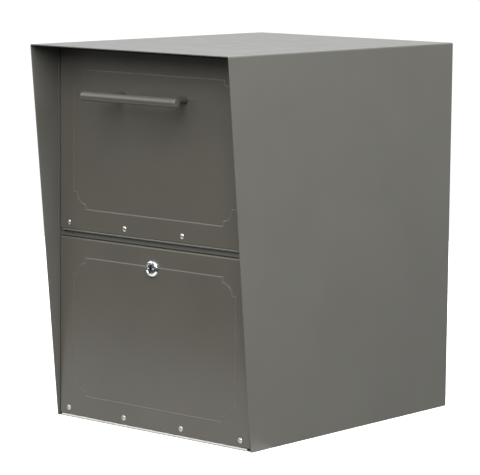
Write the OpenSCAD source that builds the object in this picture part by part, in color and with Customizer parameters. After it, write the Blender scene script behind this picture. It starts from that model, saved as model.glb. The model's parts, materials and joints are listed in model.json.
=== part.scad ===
// Parcel drop box: a folded sheet-steel casing under a raked hood, with a
// pull-down hopper door above a locked access door. Millimetres, +Z up.
// The origin is at the middle of the box's footprint, on the surface that it
// stands on. The doors face -Y.

/* [Casing] */
// Outer width of the casing
body_w = 381; // [365:1:400]
// Height from the base to the top of the roof
body_h = 554; // [540:1:580]
// Depth of the roof, from the hood's lip to the back
roof_d = 511; // [500:1:530]
// Depth of the base
base_d = 455; // [440:1:465]
// Thickness of the casing's sheet
sheet = 1.5; // [1.2:0.1:2]
// Outer radius of the bends between roof and sides
bend_r = 2.5; // [2.1:0.1:4]

/* [Frame inside the casing] */
// Thickness of the jambs, rails and strike
frame_sheet = 1; // [0.8:0.1:1.2]
// Height of the cross rail's top, which carries the hopper hinge
rail_top = 279; // [270:1:290]
// Height of the cross rail's front web
rail_web = 8; // [5:0.5:9]
// How far the cross rail's front web stands behind the door faces
rail_setback = 4.5; // [3:0.5:8]
// Width of the stop flange that each jamb turns in behind the doors
stop_w = 13; // [11:0.5:15]
// Turned-up edge of the floor and of the rear panel
pan_edge = 14; // [8:1:20]

/* [Doors] */
// How far the door faces stand behind the base's front edge
door_setback = 1; // [0.5:0.5:2]
// Thickness of the doors' sheet
door_sheet = 1.2; // [1:0.1:1.5]
// Depth of a door, from its face to the back of its return lip
door_d = 12; // [10:0.5:14]
// Width of the return lips along the doors' sides
door_lip = 10; // [8:0.5:11]
// Clearance between a door's side and its jamb
door_gap = 1.2; // [0.8:0.1:1.5]
// Outer radius of the fold around the doors' edges
fold_r = 3; // [2:0.5:4]
// Clearance between the hopper door and the roof
hopper_door_gap = 4.5; // [3:0.5:6]
// Clearance between the access door and the cross rail
access_door_gap = 1; // [0.8:0.1:2]

/* [Raised border of the doors] */
// Width of the bordered panel
border_w = 317; // [290:1:330]
// Lower edge of the hopper door's border, above its hinge
hopper_border_low = 32.1; // [25:0.1:40]
// Upper edge of the hopper door's border, above its hinge
hopper_border_high = 236.1; // [220:0.1:245]
// Lower edge of the access door's border, above its hinge
access_border_low = 32.1; // [22:0.1:40]
// Upper edge of the access door's border, above its hinge
access_border_high = 238.4; // [225:0.1:240]
// Width of the raised line
border_line = 1.8; // [1:0.1:3]
// Height of the raised line
border_rise = 0.5; // [0.3:0.1:1]
// Size of the stepped corner
corner = 25; // [20:0.5:30]
// Radius of the round part of the corner
corner_r = 17.5; // [12:0.5:20]

/* [Hinges] */
// Length of each continuous hinge
hinge_len = 364; // [350:1:368]
// Number of knuckles along a hinge
knuckles = 27; // [15:2:35]
// Radius of the barrel
barrel_r = 1.5; // [1.4:0.1:2]
// Radius of the hinge pin
pin_r = 0.8; // [0.7:0.05:0.9]
// Thickness of a leaf
leaf_t = 0.7; // [0.6:0.05:0.8]
// Width of a leaf, from the pin's axis
leaf_w = 15.5; // [14.5:0.1:15.5]
// Height of the door rivets above the pin's axis
rivet_rise = 11.3; // [9:0.1:12]
// Distance between the outer two door rivets
rivet_span = 336.6; // [320:0.1:340]
// Radius of a door rivet's head
rivet_head_r = 4; // [3:0.1:4.5]

/* [Handle] */
// Height of the handle above the base
handle_z = 484.5; // [470:0.5:500]
// Length of the bar
bar_len = 182; // [170:1:200]
// Radius of the bar
bar_r = 6.5; // [6:0.5:8]
// Distance between the two posts
post_span = 120; // [100:1:130]
// Radius of a post
post_r = 5.5; // [5:0.1:5.8]
// Distance from the door's face to the bar's axis
bar_reach = 50; // [40:1:50]

/* [Hopper] */
// Width of the tray
tray_w = 320; // [300:1:324]
// Length of the tray's level part, over the cross rail
tray_level = 36; // [32:1:45]
// Length of the tray's sloping part
tray_slope_len = 215; // [180:1:225]
// Slope of the tray with the door closed
tray_slope = 32; // [28:1:35]
// Radius of the hopper's cheeks about the hinge
cheek_r = 200; // [180:1:210]
// Angle through which the hopper door opens
hopper_open = 60; // [50:1:65]

/* [Lock] */
// Height of the lock above the base
lock_z = 240; // [232:0.5:242]
// Radius of the lock's head
lock_head_r = 12.2; // [11:0.1:13]
// How far the lock's head stands out of the door
lock_head_h = 5; // [4.8:0.1:6]
// Radius of the threaded barrel
lock_barrel_r = 9; // [8.5:0.5:9]
// Radius of the key plug
plug_r = 6.5; // [5:0.5:7]
// Length of the lock behind the door's face
lock_len = 20; // [19:0.5:22]
// Length of the cam, from its pivot to its tip
cam_len = 30; // [27:1:31]

/* [Mounting holes] */
// Radius of the mounting holes, for M8 bolts
mount_r = 4.25; // [3:0.25:6]
// Spacing of the mounting holes across the box
mount_span_x = 254; // [200:1:300]
// Spacing of the floor's mounting holes front to back
mount_span_y = 305; // [200:1:340]
// Spacing of the rear panel's mounting holes up and down
mount_span_z = 356; // [300:1:400]

/* [Hidden] */
$fn = 48;
eps = 0.01;
BRONZE = [0.34, 0.33, 0.30];
ZINC = [0.74, 0.75, 0.76];
CHROME = [0.85, 0.86, 0.88];
STEEL = [0.60, 0.61, 0.62];
RUBBER = [0.10, 0.10, 0.10];

// How far a cutting shape runs past the surface that it opens
over = 1;
// Clearance around parts that pass or turn in a hole
play = 0.05;
hole_play = 0.2;

// Casing
back_y = roof_d / 2;
lip_y = -roof_d / 2;
toe_y = back_y - base_d;
inner_x = body_w / 2 - sheet;
roof_under = body_h - sheet;
face_y = toe_y + door_setback;
floor_clear = 1;
pan_clear = 2;

// Hinges: the leaf's face lies against the back of the door's sheet
leaf_inset = 0.1;
leaf_face = barrel_r - leaf_inset;
knuckle_gap = 0.25;
knuckle_pitch = hinge_len / knuckles;
axis_y = face_y + door_sheet - (leaf_face - leaf_t);
access_axis_z = sheet + leaf_face;
hopper_axis_z = rail_top + leaf_face;
leaf_back_y = axis_y + leaf_face;
rivet_x = [for (i = [0:3]) rivet_span * (i / 3 - 0.5)];
rivet_hole_r = 2.1;
rivet_head_h = 1.6;
rivet_bulb = [3, 3];
mandrel_r = 1.1;
mandrel_depth = 1;

// Doors
door_w = 2 * (inner_x - frame_sheet - door_gap);
door_foot = barrel_r + 0.6;
lip_low = 18;
lip_high = 3;
access_low = access_axis_z + door_foot;
access_high = rail_top - rail_web - access_door_gap;
hopper_low = hopper_axis_z + door_foot;
hopper_high = roof_under - hopper_door_gap;
lip_back_y = face_y + door_d;
stop_face_y = lip_back_y + 4;
stop_back_y = stop_face_y + frame_sheet;
stop_inner_x = inner_x - stop_w;

// Frame
jamb_inset = 0.2;
rail_leg = 16;
rail_short = 6;
bumper_z = [40, 235, 325, 520];
bumper_r = 4;
bumper_gap = 0.2;

// Handle
bar_chamfer = 1;
backing_t = 1.5;
backing_rise = 11;
backing_run = 18;
handle_screw_r = 2.5;
handle_screw_len = 14;
screw_head = [[0, 0], [4.6, 0], [4.6, 2], [3.6, 3.2], [0, 3.2]];
socket_r = 1.4;
socket_depth = 1.2;

// Hopper
tray_t = 1.2;
tray_z = hopper_low + 0.4;
tray_bend = [leaf_back_y + tray_level, tray_z];
tray_end = tray_bend + tray_slope_len * [cos(tray_slope), -sin(tray_slope)];
tray_edge = 12;
tray_flange_h = 14;
tray_lip = 10;
tray_flange_w = rivet_span + 10;
cheek_t = 1.2;
cheek_foot = 26;
cheek_flange = 12;
cheek_tail = 40;
cheek_notch = 24;
cheek_ease = 4;
tab_r = cheek_r - 8;
tab_len = 22;
tab_h = 12;
tab_play = 0.3;
stop_angle = acos((stop_back_y - axis_y + tab_play) / (tab_r - tab_h)) - hopper_open;
small_rivet_r = 1.6;
small_head_r = 3;
small_head_h = 1;

// Baffle that stands over the tray's end when the hopper door is open
baffle_path = [
    [70, roof_under],
    [48, roof_under],
    [16, 432],
    [28, 424]
];

// Lock
lock_rim = [[5.2, 0], [3.4, 0.3], [1.9, 1.1], [0.7, 2.3], [0.1, 3.6], [0, 4.6]];
plug_inset = 0.6;
dimple_r = 0.9;
dimple_x = 4.8;
keyway_w = 2.2;
keyway_h = 9;
nut_r = 12 / cos(30);
nut_t = 4;
cam_t = 2;
cam_w = 14;
cam_y = face_y + lock_len + 0.2;
cam_tip = 6;
tang = 7;
cam_screw_r = 2;
cam_screw_in = 5;
cam_head_r = 4;
cam_head_h = 2.6;
washer_r = 6;
washer_t = 0.8;
slot_depth = 1;
slot_len = 5.2;
strike_w = 44;
strike_low = 252;
strike_run = 12;
strike_y = cam_y - cam_t - frame_sheet;

// ---- General shapes ----

// Extrudes a side view, drawn as [y, z], along X
module across(x0, length)
    translate([x0, 0, 0]) rotate([90, 0, 90]) linear_extrude(length) children();

// Extrudes a front view, drawn as [x, z], from y0 towards the back
module backwards(y0, length)
    translate([0, y0 + length, 0]) rotate([90, 0, 0]) linear_extrude(length) children();

// Turns a profile, drawn as [radius, depth], about an axis along Y
module turned(x, y0, z)
    translate([x, y0, z]) rotate([-90, 0, 0]) rotate_extrude() children();

// Round rod or hole along Y
module rod_y(x, y0, z, r, length)
    translate([x, y0, z]) rotate([-90, 0, 0]) cylinder(r = r, h = length);

function unit(v) = v / norm(v);
function left_of(a, b) = let (d = unit(b - a)) [-d[1], d[0]];
function mitre(p, i, t) =
    i == 0 ? p[0] + t * left_of(p[0], p[1]) :
    i == len(p) - 1 ? p[i] + t * left_of(p[i - 1], p[i]) :
    let (n = left_of(p[i - 1], p[i]), m = left_of(p[i], p[i + 1])) p[i] + t * (n + m) / (1 + n * m);

// Sheet of thickness t, folded along a path and lying to the path's left
module folded(path, t)
    polygon(concat(path, [for (i = [len(path) - 1:-1:0]) mitre(path, i, t)]));

// ---- Casing ----

module shell_view(inset, r) {
    half = body_w / 2 - inset;
    top = body_h - inset;
    translate([-half, 0]) square([2 * half, top - r]);
    translate([r - half, 0]) square([2 * (half - r), top]);
    for (s = [-1, 1]) translate([s * (half - r), top - r]) circle(r);
}

module side_outline()
    polygon([[back_y, -over], [back_y, body_h + over], [lip_y, body_h + over], [lip_y, body_h],
             [toe_y, 0], [toe_y, -over]]);

module casing_wrap() color(BRONZE) {
    intersection() {
        backwards(lip_y, roof_d) difference() {
            shell_view(0, bend_r);
            shell_view(sheet, bend_r - sheet);
            translate([-inner_x, -over]) square([2 * inner_x, body_h / 2]);
        }
        across(-body_w / 2 - over, body_w + 2 * over) side_outline();
    }
}

module rear_panel() color(BRONZE) difference() {
    edge_y = back_y - sheet - pan_edge;
    translate([-inner_x, edge_y, 0]) cube([2 * inner_x, sheet + pan_edge, roof_under]);
    translate([sheet - inner_x, edge_y - over, -over])
        cube([2 * (inner_x - sheet), pan_edge + over, roof_under - sheet + over]);
    // The turned-in edges stop above the floor's own turned-up edges
    translate([-inner_x - over, edge_y - over, -over])
        cube([2 * (inner_x + over), pan_edge + over, pan_edge + pan_clear + over]);
    for (s = [-1, 1], t = [-1, 1])
        rod_y(s * mount_span_x / 2, back_y - sheet - over, body_h / 2 + t * mount_span_z / 2, mount_r,
              sheet + 2 * over);
}

module floor_panel() color(BRONZE) {
    floor_front = axis_y + barrel_r + floor_clear;
    floor_back = back_y - sheet;
    difference() {
        translate([-inner_x, floor_front, 0]) cube([2 * inner_x, floor_back - floor_front, sheet]);
        for (s = [-1, 1], t = [-1, 1])
            translate([s * mount_span_x / 2, t * mount_span_y / 2 + (back_y + toe_y) / 2, -over])
                cylinder(r = mount_r, h = sheet + 2 * over);
    }
    for (x = [-inner_x, inner_x - sheet])
        translate([x, stop_back_y + floor_clear, sheet])
            cube([sheet, floor_back - stop_back_y - floor_clear - pan_edge - pan_clear, pan_edge - sheet]);
    translate([sheet - inner_x + pan_clear, floor_back - sheet, sheet])
        cube([2 * (inner_x - sheet - pan_clear), sheet, pan_edge - sheet]);
}

// ---- Frame ----

module jamb() translate([0, 0, sheet]) linear_extrude(roof_under - sheet)
    folded([[inner_x, toe_y + jamb_inset], [inner_x, stop_back_y], [stop_inner_x, stop_back_y]],
           frame_sheet);

module left_jamb() color(BRONZE) mirror([1, 0, 0]) jamb();

module right_jamb() color(BRONZE) jamb();

module header_rail() color(BRONZE) across(-stop_inner_x, 2 * stop_inner_x)
    folded([[stop_back_y + rail_leg, roof_under], [stop_face_y, roof_under],
            [stop_face_y, roof_under - rail_leg - frame_sheet]], frame_sheet);

module cross_rail() color(BRONZE) {
    front = face_y + rail_setback;
    rear = leaf_back_y + tray_level - rail_short;
    rail_x = stop_inner_x - frame_sheet;
    across(-rail_x, 2 * rail_x)
        folded([[front, rail_top - rail_web], [front, rail_top],
                [rear, rail_top], [rear, rail_top - rail_leg]], -frame_sheet);
    // The front web runs on to the jambs' legs
    for (s = [0, 1]) mirror([s, 0, 0])
        translate([rail_x, front, rail_top - rail_web])
            cube([inner_x - frame_sheet - rail_x, frame_sheet, rail_web]);
}

module lock_strike() color(ZINC) across(-strike_w / 2, strike_w)
    folded([[strike_y, strike_low], [strike_y, rail_top - frame_sheet],
            [strike_y + strike_run, rail_top - frame_sheet]], -frame_sheet);

module anti_theft_baffle() color(BRONZE) {
    across(-inner_x, 2 * inner_x) folded(baffle_path, sheet);
}

module door_bumpers() color(RUBBER)
    for (s = [-1, 1], z = bumper_z)
        rod_y(s * (stop_inner_x + stop_w / 2 - frame_sheet / 2), lip_back_y + bumper_gap, z, bumper_r,
              stop_face_y - lip_back_y - bumper_gap);

// ---- Hinges, drawn about the pin's axis ----

// One leaf standing up from the axis, with every second knuckle from first
module hinge_leaf(first, holes) difference() {
    union() {
        translate([-hinge_len / 2, leaf_face - leaf_t, barrel_r + knuckle_gap])
            cube([hinge_len, leaf_t, leaf_w - barrel_r - knuckle_gap]);
        for (i = [first:2:knuckles - 1])
            translate([i * knuckle_pitch - hinge_len / 2 + knuckle_gap / 2, 0, 0]) {
                rotate([0, 90, 0]) cylinder(r = barrel_r, h = knuckle_pitch - knuckle_gap);
                translate([0, leaf_face - leaf_t, 0])
                    cube([knuckle_pitch - knuckle_gap, leaf_t, barrel_r + 2 * knuckle_gap]);
            }
    }
    rotate([0, 90, 0]) cylinder(r = pin_r + play, h = hinge_len + 2 * over, center = true);
    if (holes) for (x = rivet_x) rod_y(x, 0, rivet_rise, rivet_hole_r, barrel_r + over);
}

module hinge_pin() translate([-hinge_len / 2, 0, 0]) rotate([0, 90, 0]) cylinder(r = pin_r, h = hinge_len);

module at_hopper_hinge() translate([0, axis_y, hopper_axis_z]) children();

module at_access_hinge() translate([0, axis_y, access_axis_z]) children();

module hopper_hinge_frame_leaf() color(BRONZE) at_hopper_hinge() rotate([-90, 0, 0]) hinge_leaf(0, false);

module hopper_hinge_door_leaf() color(BRONZE) at_hopper_hinge() hinge_leaf(1, true);

module hopper_hinge_pin() color(STEEL) at_hopper_hinge() hinge_pin();

module access_hinge_frame_leaf() color(ZINC) at_access_hinge() rotate([-90, 0, 0]) hinge_leaf(0, false);

module access_hinge_door_leaf() color(ZINC) at_access_hinge() hinge_leaf(1, true);

module access_hinge_pin() color(STEEL) at_access_hinge() hinge_pin();

// Blind rivet: a domed head with the hollow left by its mandrel, and a bulb behind
module blind_rivet(x, z, grip) {
    ball_r = (pow(rivet_head_r, 2) + pow(rivet_head_h, 2)) / (2 * rivet_head_h);
    turned(x, face_y, z) difference() {
        union() {
            intersection() {
                translate([0, ball_r - rivet_head_h]) circle(ball_r, $fn = 96);
                translate([0, -rivet_head_h]) square([rivet_head_r, rivet_head_h]);
            }
            square([rivet_hole_r - 2 * play, grip]);
            translate([0, grip]) square(rivet_bulb);
        }
        translate([-over, -rivet_head_h - over]) square([mandrel_r + over, mandrel_depth + over]);
    }
}

// ---- Doors ----

// Folded pan, open at the back and at its hinged edge
module door_pan(low, high) {
    difference() {
        pan_body(low, high, 0);
        pan_body(low - over, high, door_sheet);
    }
    // Return lips along both sides
    for (s = [0, 1]) mirror([s, 0, 0])
        translate([door_w / 2 - door_lip, lip_back_y - door_sheet, low + lip_low])
            cube([door_lip - door_sheet + eps, door_sheet, high - low - lip_low - door_sheet - lip_high]);
}

// Block with the rounded front edges of a folded pan
module pan_body(low, high, inset) {
    r = fold_r - inset;
    depth = inset == 0 ? door_d : door_d + over;
    half = door_w / 2 - inset;
    top = high - inset;
    front = face_y + inset;
    intersection() {
        across(-door_w, 2 * door_w) union() {
            translate([front, low]) square([depth, top - low - r]);
            translate([front + r, low]) square([depth - r, top - low]);
            translate([front + r, top - r]) circle(r);
        }
        translate([0, 0, low - over]) linear_extrude(top - low + 2 * over) union() {
            translate([-half, front + r]) square([2 * half, depth - r]);
            translate([r - half, front]) square([2 * (half - r), depth]);
            for (s = [-1, 1]) translate([s * (half - r), front + r]) circle(r);
        }
    }
}

// Bordered panel with stepped round corners, grown by grow on all sides
module plaque(height, grow) {
    half_w = border_w / 2;
    half_h = height / 2;
    square([border_w + 2 * grow, height - 2 * corner + 2 * grow], center = true);
    square([border_w - 2 * corner + 2 * grow, height + 2 * grow], center = true);
    for (s = [-1, 1], t = [-1, 1])
        translate([s * (half_w - corner), t * (half_h - corner)]) circle(corner_r + grow, $fn = 72);
}

module raised_border(low, high) translate([0, 0, (low + high) / 2])
    backwards(face_y - border_rise, border_rise + door_sheet / 2) difference() {
        plaque(high - low, border_line / 2);
        plaque(high - low, -border_line / 2);
    }

module hopper_door() color(BRONZE) difference() {
    union() {
        door_pan(hopper_low, hopper_high);
        raised_border(hopper_axis_z + hopper_border_low, hopper_axis_z + hopper_border_high);
    }
    for (x = rivet_x)
        rod_y(x, face_y - over, hopper_axis_z + rivet_rise, rivet_hole_r, door_sheet + 2 * over);
    for (s = [-1, 1]) rod_y(s * post_span / 2, face_y - over, handle_z, handle_screw_r + hole_play,
                            door_sheet + 2 * over);
}

module access_door() color(BRONZE) difference() {
    union() {
        door_pan(access_low, access_high);
        raised_border(access_axis_z + access_border_low, access_axis_z + access_border_high);
    }
    for (x = rivet_x)
        rod_y(x, face_y - over, access_axis_z + rivet_rise, rivet_hole_r, door_sheet + 2 * over);
    rod_y(0, face_y - over, lock_z, lock_barrel_r + hole_play, door_sheet + 2 * over);
    // Flat seat for the lock's head across the raised line
    rod_y(0, face_y - over, lock_z, lock_head_r + hole_play, over);
}

module hopper_door_rivets() color(ZINC)
    for (x = rivet_x) blind_rivet(x, hopper_axis_z + rivet_rise, door_sheet + leaf_t + tray_t);

module access_door_rivets() color(ZINC)
    for (x = rivet_x) blind_rivet(x, access_axis_z + rivet_rise, door_sheet + leaf_t);

// ---- Handle ----

bar_y = face_y - bar_reach;

module handle_bar() color(BRONZE) translate([-bar_len / 2, bar_y, handle_z]) rotate([0, 90, 0])
    rotate_extrude($fn = 64) polygon([[0, 0], [bar_r - bar_chamfer, 0], [bar_r, bar_chamfer],
                                     [bar_r, bar_len - bar_chamfer], [bar_r - bar_chamfer, bar_len],
                                     [0, bar_len]]);

module handle_posts() color(BRONZE) for (s = [-1, 1]) difference() {
    rod_y(s * post_span / 2, bar_y, handle_z, post_r, bar_reach);
    translate([0, bar_y, handle_z]) rotate([0, 90, 0])
        cylinder(r = bar_r, h = bar_len, center = true, $fn = 64);
    // Tapped hole for the screw from inside the door
    rod_y(s * post_span / 2, face_y - handle_screw_len, handle_z, handle_screw_r + play,
          handle_screw_len + over);
}

module handle_backing_strip() color(ZINC) difference() {
    translate([-post_span / 2 - backing_run, face_y + door_sheet, handle_z - backing_rise])
        cube([post_span + 2 * backing_run, backing_t, 2 * backing_rise]);
    for (s = [-1, 1]) rod_y(s * post_span / 2, face_y, handle_z, handle_screw_r + hole_play,
                            door_sheet + backing_t + over);
}

module handle_screws() color(ZINC) {
    seat_y = face_y + door_sheet + backing_t;
    for (s = [-1, 1]) turned(s * post_span / 2, seat_y, handle_z) difference() {
        union() {
            translate([0, -handle_screw_len]) square([handle_screw_r, handle_screw_len + eps]);
            polygon(screw_head);
        }
        translate([0, screw_head[3][1] - socket_depth]) square([socket_r, socket_depth + over]);
    }
}

// ---- Hopper ----

module hopper_tray() color(BRONZE) difference() {
    union() {
        // Level part over the rail, then the slope
        across(-tray_w / 2, tray_w)
            folded([[leaf_back_y, tray_z], tray_bend, tray_end, tray_end - [0, tray_lip]], tray_t);
        // Front flange, clamped behind the hinge leaf
        translate([-tray_flange_w / 2, leaf_back_y, tray_z]) cube([tray_flange_w, tray_t, tray_flange_h]);
        // Turned-up edges along the slope
        for (s = [0, 1]) mirror([s, 0, 0]) across(tray_w / 2 - tray_t, tray_t)
            folded([tray_bend, tray_end], tray_edge);
    }
    for (x = rivet_x)
        rod_y(x, leaf_back_y - over, hopper_axis_z + rivet_rise, rivet_hole_r, tray_t + 2 * over);
    for (p = tray_rivet_spots()) across(-tray_w, 2 * tray_w) translate(p) circle(small_rivet_r);
}

function tray_rivet_spots() =
    let (square_to_tray = [sin(tray_slope), cos(tray_slope)])
    [for (f = [0.12, 0.5, 0.88])
        tray_bend + f * (tray_end - tray_bend) + (tray_t + tray_edge) / 2 * square_to_tray];

// Quadrant plate between door and tray, with a flange on the door and a stop tab
module hopper_cheek() {
    x0 = tray_w / 2;
    door_back_y = face_y + door_sheet;
    difference() {
        across(x0, cheek_t) intersection() {
            translate([axis_y, hopper_axis_z]) circle(cheek_r, $fn = 180);
            polygon([[door_back_y, hopper_axis_z + cheek_foot], [door_back_y, body_h], [body_w, body_h],
                     tray_end + cheek_tail * [cos(tray_slope), -sin(tray_slope)], tray_bend,
                     [tray_bend[0] - cheek_notch, hopper_axis_z + cheek_foot]]);
        }
        for (p = tray_rivet_spots())
            across(x0 - over, cheek_t + 2 * over) translate(p) circle(small_rivet_r);
    }
    flange_low = cheek_foot + cheek_ease;
    flange_high = sqrt(pow(cheek_r, 2) - pow(door_back_y - axis_y, 2)) - cheek_ease;
    translate([x0 - cheek_flange, door_back_y, hopper_axis_z + flange_low])
        cube([cheek_flange, cheek_t, flange_high - flange_low]);
    // Tab that meets the jamb's stop flange when the door is open
    translate([x0 + cheek_t - eps, axis_y, hopper_axis_z]) rotate([stop_angle, 0, 0])
        translate([0, tab_r - tab_h, -cheek_t]) cube([tab_len, tab_h, cheek_t]);
}

module left_hopper_cheek() color(BRONZE) mirror([1, 0, 0]) hopper_cheek();

module right_hopper_cheek() color(BRONZE) hopper_cheek();

module hopper_tray_rivets() color(ZINC) for (s = [0, 1], p = tray_rivet_spots()) mirror([s, 0, 0])
    translate([tray_w / 2 - tray_t, p[0], p[1]]) rotate([0, 90, 0]) {
        translate([0, 0, -small_head_h]) cylinder(r = small_head_r, h = small_head_h);
        cylinder(r = small_rivet_r, h = tray_t + cheek_t);
        translate([0, 0, tray_t + cheek_t]) cylinder(r = small_head_r, h = small_head_h);
    }

// ---- Lock, about an axis along Y ----

module lock_housing() color(CHROME) turned(0, face_y, lock_z) difference() {
    union() {
        polygon(concat([[0, -lock_head_h]], [for (p = lock_rim) [lock_head_r - p[0], p[1] - lock_head_h]],
                       [[lock_head_r, 0], [0, 0]]));
        square([lock_barrel_r, lock_len]);
    }
    translate([-over, -lock_head_h - over])
        square([plug_r + play + over, lock_len + lock_head_h + 2 * over]);
}

module lock_nut() color(ZINC) difference() {
    translate([0, face_y + door_sheet, lock_z]) rotate([-90, 0, 0]) cylinder(r = nut_r, h = nut_t, $fn = 6);
    rod_y(0, face_y, lock_z, lock_barrel_r + play, door_sheet + nut_t + over);
}

module lock_plug() color(CHROME) {
    plug_face_y = face_y - lock_head_h + plug_inset;
    difference() {
        union() {
            rod_y(0, plug_face_y, lock_z, plug_r, face_y + lock_len - plug_face_y);
            translate([-tang / 2, face_y + lock_len - eps, lock_z - tang / 2])
                cube([tang, cam_y + cam_t - face_y - lock_len, tang]);
        }
        // Keyway, with a dimple on each side of it
        translate([-keyway_w / 2, plug_face_y - over, lock_z - keyway_h / 2])
            cube([keyway_w, lock_len, keyway_h]);
        for (s = [-1, 1]) translate([s * dimple_x, plug_face_y, lock_z]) sphere(dimple_r, $fn = 32);
        rod_y(0, face_y + lock_len - cam_screw_in - over, lock_z, cam_screw_r + play,
              cam_screw_in + cam_t + 4 * over);
    }
}

module lock_cam() color(ZINC) translate([0, cam_y, lock_z]) rotate([-90, 0, 0]) difference() {
    linear_extrude(cam_t) {
        circle(cam_w / 2);
        translate([0, -cam_w / 2]) square([cam_len - cam_tip, cam_w]);
        translate([cam_len - cam_tip, 1 - cam_w / 2]) square([cam_tip, cam_w - 2]);
    }
    translate([-tang / 2 - play, -tang / 2 - play, -over])
        cube([tang + 2 * play, tang + 2 * play, cam_t + 2 * over]);
}

module lock_cam_washer() color(ZINC) difference() {
    rod_y(0, cam_y + cam_t, lock_z, washer_r, washer_t);
    rod_y(0, cam_y, lock_z, cam_screw_r + hole_play, cam_t + washer_t + over);
}

module lock_cam_screw() color(ZINC) {
    seat_y = cam_y + cam_t + washer_t;
    tip_y = face_y + lock_len - cam_screw_in;
    rod_y(0, tip_y, lock_z, cam_screw_r, seat_y - tip_y);
    difference() {
        rod_y(0, seat_y, lock_z, cam_head_r, cam_head_h);
        for (a = [0, 90]) translate([0, seat_y + cam_head_h - slot_depth, lock_z]) rotate([0, a, 0])
            translate([-slot_len / 2, 0, -slot_depth / 2]) cube([slot_len, slot_depth + over, slot_depth]);
    }
}

casing_wrap();
rear_panel();
floor_panel();
left_jamb();
right_jamb();
header_rail();
cross_rail();
lock_strike();
anti_theft_baffle();
door_bumpers();
hopper_hinge_frame_leaf();
hopper_hinge_pin();
access_hinge_frame_leaf();
access_hinge_pin();
hopper_door();
hopper_hinge_door_leaf();
hopper_door_rivets();
handle_bar();
handle_posts();
handle_backing_strip();
handle_screws();
hopper_tray();
left_hopper_cheek();
right_hopper_cheek();
hopper_tray_rivets();
access_door();
access_hinge_door_leaf();
access_door_rivets();
lock_housing();
lock_nut();
lock_plug();
lock_cam();
lock_cam_washer();
lock_cam_screw();
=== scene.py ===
"""The looks of a parcel drop box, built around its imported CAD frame.

Everything is in metres in the row frame: +Z is up, the doors face -Y, and the
origin is at the middle of the box's footprint.
"""

import json
import math

import bmesh
import bpy
from mathutils import Matrix, Vector

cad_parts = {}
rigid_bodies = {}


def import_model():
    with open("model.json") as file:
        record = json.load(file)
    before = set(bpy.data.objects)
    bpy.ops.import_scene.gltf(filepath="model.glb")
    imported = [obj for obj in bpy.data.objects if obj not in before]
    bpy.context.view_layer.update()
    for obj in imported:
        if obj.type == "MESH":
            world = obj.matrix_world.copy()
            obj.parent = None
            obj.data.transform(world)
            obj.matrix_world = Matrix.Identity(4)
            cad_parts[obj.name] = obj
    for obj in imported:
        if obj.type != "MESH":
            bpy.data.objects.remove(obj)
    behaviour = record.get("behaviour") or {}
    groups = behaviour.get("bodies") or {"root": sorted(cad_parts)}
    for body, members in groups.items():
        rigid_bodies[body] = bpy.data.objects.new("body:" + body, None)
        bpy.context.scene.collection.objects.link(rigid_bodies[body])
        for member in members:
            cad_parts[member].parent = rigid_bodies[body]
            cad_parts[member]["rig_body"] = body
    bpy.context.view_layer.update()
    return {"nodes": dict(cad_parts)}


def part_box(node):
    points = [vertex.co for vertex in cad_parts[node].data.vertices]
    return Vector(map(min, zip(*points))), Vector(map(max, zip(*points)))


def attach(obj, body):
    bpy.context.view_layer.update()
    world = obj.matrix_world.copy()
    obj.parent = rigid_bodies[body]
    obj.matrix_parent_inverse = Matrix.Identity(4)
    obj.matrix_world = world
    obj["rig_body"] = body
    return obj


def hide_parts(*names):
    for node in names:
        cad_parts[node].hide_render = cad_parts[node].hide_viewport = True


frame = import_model()

MM = 0.001


# ---- Camera, floor and light ----

CAMERA_PLACE = (2.4087, -2.7909, 0.7640)
CAMERA_AZIMUTH = math.radians(40.88)
CAMERA_DOWN = math.radians(7.70)
CAMERA_ROLL = math.radians(0.538)
CAMERA_LENS = 187.55

# Brightness of the studio in front of the box, behind it, and the share of it below the horizon
ROOM_FRONT = 0.24
ROOM_BACK = 1.0
ROOM_BELOW = 0.25
ROOM_GROUND = 0.1
ROOM_TINT = (0.975, 1.0, 1.015)


def make_camera():
    data = bpy.data.cameras.new("camera")
    data.lens = CAMERA_LENS
    data.sensor_width = 36
    camera = bpy.data.objects.new("camera", data)
    turn = Matrix.Rotation(CAMERA_AZIMUTH, 4, "Z")
    tilt = Matrix.Rotation(math.pi / 2 - CAMERA_DOWN, 4, "X")
    roll = Matrix.Rotation(CAMERA_ROLL, 4, "Z")
    camera.matrix_world = Matrix.Translation(CAMERA_PLACE) @ turn @ tilt @ roll
    bpy.context.scene.collection.objects.link(camera)
    bpy.context.scene.camera = camera


def ranged(tree, value, from_low, from_high, low, high):
    node = tree.nodes.new("ShaderNodeMapRange")
    node.interpolation_type = "SMOOTHSTEP"
    node.inputs["From Min"].default_value = from_low
    node.inputs["From Max"].default_value = from_high
    node.inputs["To Min"].default_value = low
    node.inputs["To Max"].default_value = high
    tree.links.new(value, node.inputs["Value"])
    return node.outputs["Result"]


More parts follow.
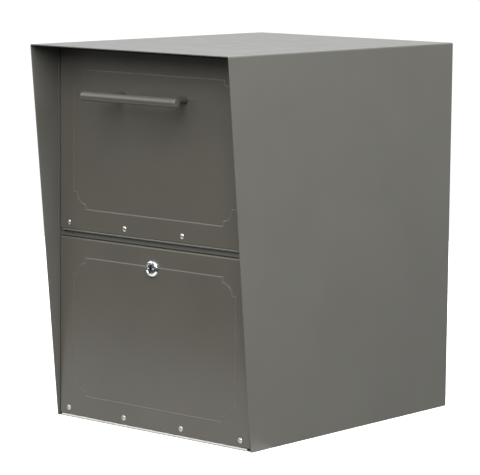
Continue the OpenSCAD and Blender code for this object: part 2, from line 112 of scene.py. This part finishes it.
def make_world():
    """A white backdrop round a studio that is bright behind the box, dim in front and dark below."""
    world = bpy.data.worlds.new("studio")
    world.use_nodes = True
    tree = world.node_tree
    tree.nodes.clear()
    out = tree.nodes.new("ShaderNodeOutputWorld")
    backdrop = tree.nodes.new("ShaderNodeBackground")
    backdrop.inputs["Color"].default_value = (1, 1, 1, 1)
    backdrop.inputs["Strength"].default_value = 1.05
    room = tree.nodes.new("ShaderNodeBackground")
    place = tree.nodes.new("ShaderNodeTexCoord").outputs["Generated"]
    facing = tree.nodes.new("ShaderNodeVectorMath")
    facing.operation = "DOT_PRODUCT"
    facing.inputs[1].default_value = (-math.sin(CAMERA_AZIMUTH), math.cos(CAMERA_AZIMUTH), 0)
    tree.links.new(place, facing.inputs[0])
    axes = tree.nodes.new("ShaderNodeSeparateXYZ")
    tree.links.new(place, axes.inputs[0])
    behind = ranged(tree, facing.outputs["Value"], 0.2, 0.9, ROOM_FRONT, ROOM_BACK)
    above = ranged(tree, axes.outputs["Z"], -0.2, 0.0, ROOM_BELOW, 1.0)
    ground = ranged(tree, axes.outputs["Z"], -0.75, -0.35, ROOM_GROUND, 0.0)
    both = tree.nodes.new("ShaderNodeMath")
    both.operation = "MULTIPLY_ADD"
    tree.links.new(behind, both.inputs[0])
    tree.links.new(above, both.inputs[1])
    tree.links.new(ground, both.inputs[2])
    tinted = tree.nodes.new("ShaderNodeVectorMath")
    tinted.operation = "SCALE"
    tinted.inputs[0].default_value = ROOM_TINT
    tree.links.new(both.outputs[0], tinted.inputs["Scale"])
    tree.links.new(tinted.outputs["Vector"], room.inputs["Color"])
    camera_ray = tree.nodes.new("ShaderNodeLightPath")
    mix = tree.nodes.new("ShaderNodeMixShader")
    tree.links.new(camera_ray.outputs["Is Camera Ray"], mix.inputs[0])
    tree.links.new(room.outputs[0], mix.inputs[1])
    tree.links.new(backdrop.outputs[0], mix.inputs[2])
    tree.links.new(mix.outputs[0], out.inputs["Surface"])
    bpy.context.scene.world = world


def softbox(name, place, aim, width, height, power):
    data = bpy.data.lights.new(name, "AREA")
    data.shape = "RECTANGLE"
    data.size = width
    data.size_y = height
    data.energy = power
    lamp = bpy.data.objects.new(name, data)
    lamp.location = place
    lamp.rotation_euler = (Vector(aim) - Vector(place)).to_track_quat("-Z", "Y").to_euler()
    bpy.context.scene.collection.objects.link(lamp)


# ---- Procedural materials ----

COAT_METAL = 0.12
PEEL_HEIGHT = 0.010 * MM
GRAIN_HEIGHT = 0.003 * MM
# How much lighter the paint is made along the top of a door's raised line: a painted highlight for the
# light that the line catches
LINE_PAINTED_HIGHLIGHT = 1.12


class Paint:
    """A Principled material whose patterns are in metres of the row frame."""

    def __init__(self, name):
        self.material = bpy.data.materials.new(name)
        self.material.use_nodes = True
        self.tree = self.material.node_tree
        self.shader = self.tree.nodes["Principled BSDF"]
        self.place = self.tree.nodes.new("ShaderNodeTexCoord").outputs["Object"]

    def set(self, **values):
        for socket, value in values.items():
            self.shader.inputs[socket.replace("_", " ")].default_value = value
        return self

    def stretched(self, scale):
        mapping = self.tree.nodes.new("ShaderNodeMapping")
        mapping.inputs["Scale"].default_value = scale
        self.tree.links.new(self.place, mapping.inputs["Vector"])
        return mapping.outputs["Vector"]

    def noise(self, size, detail=2.0, rough=0.5, stretch=None):
        """Noise from 0 to 1 whose blobs are about size across."""
        node = self.tree.nodes.new("ShaderNodeTexNoise")
        node.inputs["Scale"].default_value = 1 / size
        node.inputs["Detail"].default_value = detail
        node.inputs["Roughness"].default_value = rough
        source = self.stretched(stretch) if stretch else self.place
        self.tree.links.new(source, node.inputs["Vector"])
        return node.outputs["Fac"]

    def cells(self, size):
        """A random grey for each crystal-like cell of about that size."""
        node = self.tree.nodes.new("ShaderNodeTexVoronoi")
        node.inputs["Scale"].default_value = 1 / size
        self.tree.links.new(self.place, node.inputs["Vector"])
        grey = self.tree.nodes.new("ShaderNodeSeparateColor")
        self.tree.links.new(node.outputs["Color"], grey.inputs[0])
        return grey.outputs[0]

    def depth(self):
        """How far back the place is, along Y."""
        axes = self.tree.nodes.new("ShaderNodeSeparateXYZ")
        self.tree.links.new(self.place, axes.inputs[0])
        return axes.outputs["Y"]

    def ranged(self, value, low, high, from_low=0.3, from_high=0.7):
        node = self.tree.nodes.new("ShaderNodeMapRange")
        node.inputs["From Min"].default_value = from_low
        node.inputs["From Max"].default_value = from_high
        node.inputs["To Min"].default_value = low
        node.inputs["To Max"].default_value = high
        self.tree.links.new(value, node.inputs["Value"])
        return node.outputs["Result"]

    def times(self, a, b):
        node = self.tree.nodes.new("ShaderNodeMath")
        node.operation = "MULTIPLY"
        self.tree.links.new(a, node.inputs[0])
        self.tree.links.new(b, node.inputs[1])
        return node.outputs[0]

    def toned(self, colour, tone):
        """The base colour, made lighter and darker by the tone."""
        node = self.tree.nodes.new("ShaderNodeVectorMath")
        node.operation = "SCALE"
        node.inputs[0].default_value = colour
        self.tree.links.new(tone, node.inputs["Scale"])
        self.tree.links.new(node.outputs["Vector"], self.shader.inputs["Base Color"])
        return self

    def rough(self, value):
        self.tree.links.new(value, self.shader.inputs["Roughness"])
        return self

    def bumps(self, *layers):
        """Each layer is (height pattern, its height in metres)."""
        normal = None
        for pattern, height in layers:
            node = self.tree.nodes.new("ShaderNodeBump")
            node.inputs["Strength"].default_value = 1.0
            node.inputs["Distance"].default_value = height
            self.tree.links.new(pattern, node.inputs["Height"])
            if normal:
                self.tree.links.new(normal, node.inputs["Normal"])
            normal = node.outputs["Normal"]
        self.tree.links.new(normal, self.shader.inputs["Normal"])
        return self


def powder_coat(name, colour, gloss, line_front=None):
    """Semi-gloss powder coat with a fine metallic flake and faint orange peel.

    A raised line whose top lies at line_front gets a painted highlight: its colour is made lighter than
    the flat sheet round it.
    """
    paint = Paint(name)
    clouds = paint.ranged(paint.noise(120 * MM, detail=3), 0.96, 1.04)
    flake = paint.ranged(paint.noise(0.45 * MM, detail=1), 0.93, 1.07)
    tone = paint.times(clouds, flake)
    if line_front is not None:
        # Painted highlight: the top of the raised line is coloured lighter, standing in for the light that
        # it catches
        painted_line_highlight = paint.ranged(paint.depth(), LINE_PAINTED_HIGHLIGHT, 1.0, line_front + 0.15 * MM, line_front + 0.45 * MM)
        tone = paint.times(tone, painted_line_highlight)
    paint.toned(colour, tone)
    paint.rough(paint.ranged(paint.noise(35 * MM, detail=4), gloss - 0.02, gloss + 0.03))
    peel = paint.noise(2.6 * MM, detail=1)
    grain = paint.noise(0.7 * MM, detail=2)
    paint.bumps((peel, PEEL_HEIGHT), (grain, GRAIN_HEIGHT))
    return paint.set(Metallic=COAT_METAL, IOR=1.5).material


def zinc_plate():
    paint = Paint("zinc_plate")
    spangle = paint.ranged(paint.cells(1.8 * MM), 0.88, 1.04, 0, 1)
    wear = paint.ranged(paint.noise(9 * MM, detail=4), 0.86, 1.03)
    paint.toned((0.70, 0.69, 0.66), paint.times(spangle, wear))
    paint.rough(paint.ranged(paint.noise(4 * MM, detail=3), 0.28, 0.42))
    drawn = paint.noise(0.5 * MM, detail=2, stretch=(0.04, 1, 1))
    paint.bumps((drawn, 0.006 * MM))
    return paint.set(Metallic=1.0).material


def bright_metal(name, colour, rough_low, rough_high, scratch):
    """Polished metal with faint polishing marks."""
    paint = Paint(name)
    paint.toned(colour, paint.ranged(paint.noise(3 * MM, detail=3), 0.93, 1.03))
    paint.rough(paint.ranged(paint.noise(1.6 * MM, detail=3), rough_low, rough_high))
    marks = paint.noise(0.35 * MM, detail=2, stretch=(1, 1, 0.15))
    paint.bumps((marks, scratch))
    return paint.set(Metallic=1.0).material


def moulded_rubber():
    paint = Paint("moulded_rubber")
    paint.toned((0.022, 0.022, 0.023), paint.ranged(paint.noise(2 * MM), 0.8, 1.3))
    paint.rough(paint.ranged(paint.noise(1 * MM), 0.6, 0.8))
    paint.bumps((paint.noise(0.4 * MM), 0.01 * MM))
    return paint.material


def floor_paper():
    paint = Paint("floor_paper")
    paint.toned((0.90, 0.90, 0.90), paint.ranged(paint.noise(0.5, detail=2), 0.985, 1.0))
    paint.rough(paint.ranged(paint.noise(0.05), 0.85, 0.95))
    return paint.set(Emission_Color=(1, 1, 1, 1), Emission_Strength=0.55).material


def card_paper():
    paint = Paint("card_paper")
    paint.toned((0.05, 0.05, 0.05), paint.ranged(paint.noise(0.4, detail=2), 0.9, 1.0))
    return paint.set(Emission_Color=(1, 1, 1, 1), Emission_Strength=1.0, Roughness=0.9).material


line_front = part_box("hopper_door")[0][1]

MATERIALS = {
    "casing_paint": powder_coat("casing_powder_coat", (0.118, 0.116, 0.104), 0.36),
    "door_paint": powder_coat("door_powder_coat", (0.102, 0.095, 0.080), 0.30, line_front),
    "handle_finish": powder_coat("handle_coat", (0.088, 0.085, 0.071), 0.36),
    "zinc": zinc_plate(),
    "steel": bright_metal("drawn_steel", (0.52, 0.52, 0.52), 0.22, 0.34, 0.004 * MM),
    "rivet": bright_metal("bright_aluminium", (0.50, 0.50, 0.485), 0.24, 0.33, 0.003 * MM),
    "chrome": bright_metal("polished_chrome", (0.78, 0.79, 0.80), 0.05, 0.10, 0.0008 * MM),
    "rubber": moulded_rubber(),
}


# ---- Making pieces ----


def finished(name, mesh, body, slot, stands_for, rounding=0.0, segments=2):
    """Puts a mesh in the scene with the material of its slot, on its body, and hides the CAD node that it
    stands for.
    """
    piece = bpy.data.objects.new(name, mesh)
    bpy.context.scene.collection.objects.link(piece)
    mesh.materials.clear()
    mesh.materials.append(MATERIALS[slot])
    mesh.shade_smooth()
    mesh.set_sharp_from_angle(angle=math.radians(36))
    if rounding:
        bevel = piece.modifiers.new("rounded_edges", "BEVEL")
        bevel.width = rounding
        bevel.segments = segments
        bevel.limit_method = "ANGLE"
        bevel.angle_limit = math.radians(36)
        bevel.harden_normals = True
        bevel.use_clamp_overlap = True
    flat = piece.modifiers.new("flat_faces", "WEIGHTED_NORMAL")
    flat.keep_sharp = True
    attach(piece, body)
    if stands_for:
        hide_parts(stands_for)
    return piece


def body_holding(node):
    return frame["nodes"][node]["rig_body"]


def formed(node, slot, rounding, segments=2):
    """A CAD node remade with whole flat faces and rounded edges."""
    shape = bmesh.new()
    shape.from_mesh(frame["nodes"][node].data)
    bmesh.ops.remove_doubles(shape, verts=shape.verts, dist=0.001 * MM)
    bmesh.ops.dissolve_limit(shape, angle_limit=math.radians(0.5), verts=shape.verts, edges=shape.edges)
    mesh = bpy.data.meshes.new(f"{node}_formed")
    shape.to_mesh(mesh)
    shape.free()
    return finished(f"{node}_formed", mesh, body_holding(node), slot, node, rounding, segments)


def pressed_door(node):
    """A door without its raised line, and the two depths between which that line stands."""
    shape = bmesh.new()
    shape.from_mesh(frame["nodes"][node].data)
    line_front, face = sorted({round(v.co.y, 5) for v in shape.verts})[:2]
    line_low = Vector([min(v.co[i] for v in shape.verts if v.co.y < face - 0.1 * MM) for i in range(3)])
    line_high = Vector([max(v.co[i] for v in shape.verts if v.co.y < face - 0.1 * MM) for i in range(3)])
    for v in shape.verts:
        v.co.y = max(v.co.y, face)
    bmesh.ops.remove_doubles(shape, verts=shape.verts, dist=0.001 * MM)
    bmesh.ops.dissolve_limit(shape, angle_limit=math.radians(0.5), verts=shape.verts, edges=shape.edges)
    mesh = mesh_from(f"{node}_formed", shape)
    finished(f"{node}_formed", mesh, body_holding(node), "door_paint", node, 0.22 * MM, 3)
    return line_low, line_high, face


def quarter_outline(half_w, half_h):
    """The panel's stepped round corner at its upper right, from the top edge to the right edge."""
    x = half_w - CORNER
    z = half_h - CORNER
    steps = 14
    angles = [math.pi / 2 * (1 - i / steps) for i in range(steps + 1)]
    round_part = [(x + CORNER_RADIUS * math.cos(a), z + CORNER_RADIUS * math.sin(a)) for a in angles]
    return [(x, half_h)] + round_part + [(half_w, z)]


def panel_outline(half_w, half_h, gap):
    """Clockwise round the panel from the top, which stays open over a gap if there is one."""
    quarter = quarter_outline(half_w, half_h)
    back = quarter[::-1]
    outline = quarter + [(x, -z) for x, z in back]
    outline += [(-x, -z) for x, z in quarter] + [(-x, z) for x, z in back]
    if gap:
        outline = [(gap, half_h)] + outline + [(-gap, half_h)]
    return [Vector(p) for p in outline]


def sideways(path, i, closed):
    """How far a corner of the path moves for each unit that the whole path moves to its left."""
    before = path[i] - path[i - 1] if closed or i else path[1] - path[0]
    after = path[(i + 1) % len(path)] - path[i] if closed or i < len(path) - 1 else before
    a = Vector((-before.y, before.x)).normalized()
    b = Vector((-after.y, after.x)).normalized()
    return (a + b) / (1 + a.dot(b))


def pressed_line(node, line_low, line_high, face, gap=0.0):
    """The rounded line that is pressed out of a door's sheet."""
    closed = not gap
    middle = (line_low + line_high) / 2
    rise = face - line_low.y
    half_w = (line_high.x - line_low.x) / 2 - LINE_CAD_HALF
    half_h = (line_high.z - line_low.z) / 2 - LINE_CAD_HALF
    path = panel_outline(half_w, half_h, gap)
    section = [(-LINE_HALF, -0.3 * MM)]
    for i in range(13):
        w = LINE_HALF * (i / 6 - 1)
        section.append((w, rise * math.cos(math.pi / 2 * w / LINE_HALF) ** 2))
    section.append((LINE_HALF, -0.3 * MM))
    shape = bmesh.new()
    rings = []
    for i, p in enumerate(path):
        side = sideways(path, i, closed)
        ring = []
        for w, h in section:
            at = p + side * w
            ring.append(shape.verts.new((middle.x + at.x, face - h, middle.z + at.y)))
        rings.append(ring)
    pairs = list(zip(rings, rings[1:]))
    if closed:
        pairs.append((rings[-1], rings[0]))
    else:
        shape.faces.new(rings[0])
        shape.faces.new(rings[-1])
    for one, two in pairs:
        for j in range(len(section)):
            k = (j + 1) % len(section)
            shape.faces.new((one[j], one[k], two[k], two[j]))
    name = f"{node}_line"
    finished(name, mesh_from(name, shape), body_holding(node), "door_paint", None)


def ring_of(shape, centre, radius, height, along, side, steps):
    """A circle of vertices, or one vertex where the radius is zero."""
    other = along.cross(side)
    middle = centre + along * height
    if radius < 1e-9:
        return [shape.verts.new(middle)]
    return [
        shape.verts.new(middle + radius * (math.cos(a) * side + math.sin(a) * other))
        for a in (2 * math.pi * i / steps for i in range(steps))
    ]


def turn(shape, profile, centre, along, side, steps=64):
    """Adds a turned shape: profile is (radius, height) points, from the axis round to the axis."""
    rings = [ring_of(shape, centre, r, h, along, side, steps) for r, h in profile]
    for low, high in zip(rings, rings[1:]):
        for i in range(steps):
            j = (i + 1) % steps
            corners = [low[i % len(low)], low[j % len(low)], high[j % len(high)], high[i % len(high)]]
            face = list(dict.fromkeys(corners))
            if len(face) > 2:
                shape.faces.new(face)


def arc(centre_r, centre_h, radius, start, end, steps=6):
    """Points of a profile along an arc, with its angles in degrees from the outward direction."""
    angles = [math.radians(start + (end - start) * i / steps) for i in range(steps + 1)]
    return [(centre_r + radius * math.cos(a), centre_h + radius * math.sin(a)) for a in angles]


def mesh_from(name, shape):
    bmesh.ops.recalc_face_normals(shape, faces=shape.faces)
    mesh = bpy.data.meshes.new(name)
    shape.to_mesh(mesh)
    shape.free()
    return mesh


BACK = Vector((0, 1, 0))
RIGHT = Vector((1, 0, 0))
UP = Vector((0, 0, 1))
# Along the lock's axis
# The lock: its head's height, how much of it is domed, the barrel and its thread
LOCK_HEAD = 5.0 * MM
DOME_HEIGHT = 4.6 * MM
DOME_STEPS = 16
LOCK_BARREL_R = 9 * MM
THREAD_PITCH = 1.0 * MM
THREAD_DEPTH = 0.55 * MM
PLUG_PLAY = 0.05 * MM

# The rivets: their head's height, the hole down the middle and the shank
RIVET_HEAD = 1.6 * MM
RIVET_HOLE = 1.1 * MM
RIVET_SHANK_R = 2.0 * MM
RIVET_DOME_STEPS = 8

# The handle bar: its eased ends and the line that the lathe leaves near each end
BAR_EASE = 0.9 * MM
LATHE_LINE_IN = 6.8 * MM
LATHE_LINE_HALF = 0.35 * MM
LATHE_LINE_DEPTH = 0.18 * MM

TURNED_SIDES = 96
RIVET_SIDES = 40


# ---- Sheet metal ----

SHEET_NODES = [
    "casing_wrap", "rear_panel", "floor_panel", "left_jamb", "right_jamb",
    "header_rail", "cross_rail", "anti_theft_baffle",
    "hopper_tray", "left_hopper_cheek", "right_hopper_cheek",
]
ZINC_NODES = [
    "lock_strike", "access_hinge_frame_leaf", "access_hinge_door_leaf", "handle_backing_strip",
    "handle_screws", "hopper_tray_rivets", "lock_nut", "lock_cam",
    "lock_cam_washer", "lock_cam_screw",
]

for node in SHEET_NODES:
    formed(node, "casing_paint", 0.25 * MM)
for node in ("hopper_hinge_frame_leaf", "hopper_hinge_door_leaf"):
    formed(node, "casing_paint", 0.12 * MM)
for node in ZINC_NODES:
    formed(node, "zinc", 0.12 * MM)
for node in ("hopper_hinge_pin", "access_hinge_pin"):
    formed(node, "steel", 0.15 * MM)
formed("door_bumpers", "rubber", 0.7 * MM, 3)
formed("lock_plug", "chrome", 0.15 * MM)
formed("handle_posts", "handle_finish", 0.2 * MM)


# ---- Doors ----

# Half the width of the pressed line, and half the width that the CAD gives it
LINE_HALF = 1.25 * MM
LINE_CAD_HALF = 0.9 * MM
# The bordered panel's stepped corner and the radius of its round part
CORNER = 25 * MM
CORNER_RADIUS = 17.5 * MM

pressed_line("hopper_door", *pressed_door("hopper_door"))
# The line on the access door ends at both sides of the lock's head
pressed_line("access_door", *pressed_door("access_door"), gap=11.5 * MM)


# ---- Rivets, handle bar and lock head, turned ----


def shell_boxes(node):
    """The bounds of each separate shell of a CAD node, from left to right."""
    shape = bmesh.new()
    shape.from_mesh(frame["nodes"][node].data)
    bmesh.ops.remove_doubles(shape, verts=shape.verts, dist=0.001 * MM)
    left = set(shape.verts)
    boxes = []
    while left:
        shell = set()
        edge = [left.pop()]
        while edge:
            vertex = edge.pop()
            shell.add(vertex)
            for line in vertex.link_edges:
                other = line.other_vert(vertex)
                if other in left:
                    left.remove(other)
                    edge.append(other)
        low = Vector([min(v.co[i] for v in shell) for i in range(3)])
        high = Vector([max(v.co[i] for v in shell) for i in range(3)])
        boxes.append((low, high))
    shape.free()
    return sorted(boxes, key=lambda box: box[0].x)


def rivet_profile(head_r, head_h, length):
    """A blind rivet from its face to its bulb: a broken mandrel in a domed head."""
    hole = RIVET_HOLE
    ball = (head_r ** 2 + head_h ** 2) / (2 * head_h)
    dome = []
    dome_in = hole + 0.25 * MM
    dome_out = head_r - 0.2 * MM
    for i in range(RIVET_DOME_STEPS + 1):
        r = dome_in + (dome_out - dome_in) * i / RIVET_DOME_STEPS
        dome.append((r, ball - math.sqrt(ball ** 2 - r ** 2)))
    stub = [(0, 0.85 * MM), (0.5 * MM, 0.8 * MM), (0.85 * MM, 0.9 * MM), (0.95 * MM, 1.0 * MM)]
    lip = [(hole, 1.0 * MM), (hole, 0.35 * MM), (hole + 0.08 * MM, 0.15 * MM)]
    edge = [(head_r, head_h - 0.25 * MM), (head_r, head_h - 0.05 * MM), (head_r - 0.1 * MM, head_h)]
    body = [(RIVET_SHANK_R, head_h), (RIVET_SHANK_R, length - 3 * MM)]
    bulb = arc(2.2 * MM, length - 2.2 * MM, 0.8 * MM, -90, 0)
    bulb += arc(1.8 * MM, length - 1.2 * MM, 1.2 * MM, 0, 90)
    return stub + lip + dome + edge + body + bulb + [(0, length)]


def make_rivets(node):
    shape = bmesh.new()
    for low, high in shell_boxes(node):
        middle = (low + high) / 2
        head_r = (high.x - low.x) / 2
        profile = rivet_profile(head_r, RIVET_HEAD, high.y - low.y)
        turn(shape, profile, Vector((middle.x, low.y, middle.z)), BACK, RIGHT, RIVET_SIDES)
    name = f"{node}_turned"
    finished(name, mesh_from(name, shape), body_holding(node), "rivet", node)


def make_bar():
    low, high = [Vector(p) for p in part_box("handle_bar")]
    radius = (high.z - low.z) / 2
    length = high.x - low.x
    profile = [(0, 0), (radius - BAR_EASE, 0), (radius, BAR_EASE)]
    # A line left by the lathe close to each end
    for at in (LATHE_LINE_IN, length - LATHE_LINE_IN):
        profile.append((radius, at - LATHE_LINE_HALF))
        profile.append((radius - LATHE_LINE_DEPTH, at))
        profile.append((radius, at + LATHE_LINE_HALF))
    profile += [(radius, length - BAR_EASE), (radius - BAR_EASE, length), (0, length)]
    shape = bmesh.new()
    centre = Vector((low.x, (low.y + high.y) / 2, (low.z + high.z) / 2))
    turn(shape, profile, centre, RIGHT, UP, TURNED_SIDES)
    finished("handle_bar_turned", mesh_from("handle_bar_turned", shape), body_holding("handle_bar"),
             "handle_finish", "handle_bar")


def plug_radius():
    low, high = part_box("lock_plug")
    return (high[0] - low[0]) / 2


def make_lock_housing():
    """The lock's rounded head, its threaded barrel and the bore for the plug."""
    low, high = [Vector(p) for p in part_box("lock_housing")]
    head_r = (high.x - low.x) / 2
    bore = plug_radius() + PLUG_PLAY
    head = LOCK_HEAD
    root_r = LOCK_BARREL_R - THREAD_DEPTH
    length = high.y - low.y
    profile = [(bore, 1.2 * MM)]
    profile += [(bore + 0.1 * MM, 0.3 * MM)]
    dome_in = bore + 0.45 * MM
    for i in range(DOME_STEPS + 1):
        a = math.pi / 2 * i / DOME_STEPS
        profile.append((dome_in + (head_r - dome_in) * math.sin(a), DOME_HEIGHT * (1 - math.cos(a))))
    profile += [(head_r, head - 0.15 * MM), (head_r - 0.15 * MM, head)]
    profile += [(root_r, head), (root_r, head + 1.4 * MM)]
    turns = int((length - head - 2.4 * MM) / THREAD_PITCH)
    start = head + 1.4 * MM
    for i in range(turns):
        at = start + i * THREAD_PITCH
        profile += [(root_r, at + 0.1 * MM)]
        profile += [(LOCK_BARREL_R, at + 0.45 * MM), (LOCK_BARREL_R, at + 0.6 * MM)]
    profile += [(root_r, length - 0.6 * MM), (LOCK_BARREL_R - 0.9 * MM, length), (bore, length)]
    profile += [(bore, 1.2 * MM)]
    shape = bmesh.new()
    centre = Vector(((low.x + high.x) / 2, low.y, (low.z + high.z) / 2))
    turn(shape, profile, centre, BACK, RIGHT, TURNED_SIDES)
    bmesh.ops.remove_doubles(shape, verts=shape.verts, dist=0.001 * MM)
    finished("lock_housing_turned", mesh_from("lock_housing_turned", shape), body_holding("lock_housing"),
             "chrome", "lock_housing")


for node in ("hopper_door_rivets", "access_door_rivets"):
    make_rivets(node)
make_bar()
make_lock_housing()


# ---- Stage ----

FLOOR_RADIUS = 2.0


def make_floor():
    """A round of pale paper, which the box's own light doesn't come from."""
    shape = bmesh.new()
    bmesh.ops.create_circle(shape, cap_ends=True, segments=96, radius=FLOOR_RADIUS)
    floor = bpy.data.objects.new("floor", mesh_from("floor", shape))
    floor.data.materials.append(floor_paper())
    floor.visible_diffuse = False
    floor.visible_glossy = False
    bpy.context.scene.collection.objects.link(floor)


def make_card():
    """A white card on the floor in front of the doors, which only their gloss shows."""
    shape = bmesh.new()
    corners = [(-0.95, -0.66), (0.25, -0.66), (0.25, -0.15), (-0.95, -0.15)]
    shape.faces.new([shape.verts.new((x, y, 0.5 * MM)) for x, y in corners])
    card = bpy.data.objects.new("front_card", mesh_from("front_card", shape))
    card.data.materials.append(card_paper())
    card.visible_camera = False
    card.visible_diffuse = False
    card.visible_shadow = False
    bpy.context.scene.collection.objects.link(card)


make_floor()
make_card()
make_world()
make_camera()
softbox("overhead", (0.2, 0.2, 3.2), (0, 0, 0), 4.0, 4.0, 110)
softbox("key", (1.4, -2.5, 2.4), (0, 0, 0.4), 3.2, 2.6, 165)
softbox("left", (-2.3, -2.0, 2.0), (0, -0.2, 0.3), 2.4, 2.0, 34)
softbox("right_side", (3.2, -0.4, 1.6), (0, 0, 0.4), 0.7, 1.6, 101)
bpy.context.scene.view_settings.view_transform = "Standard"
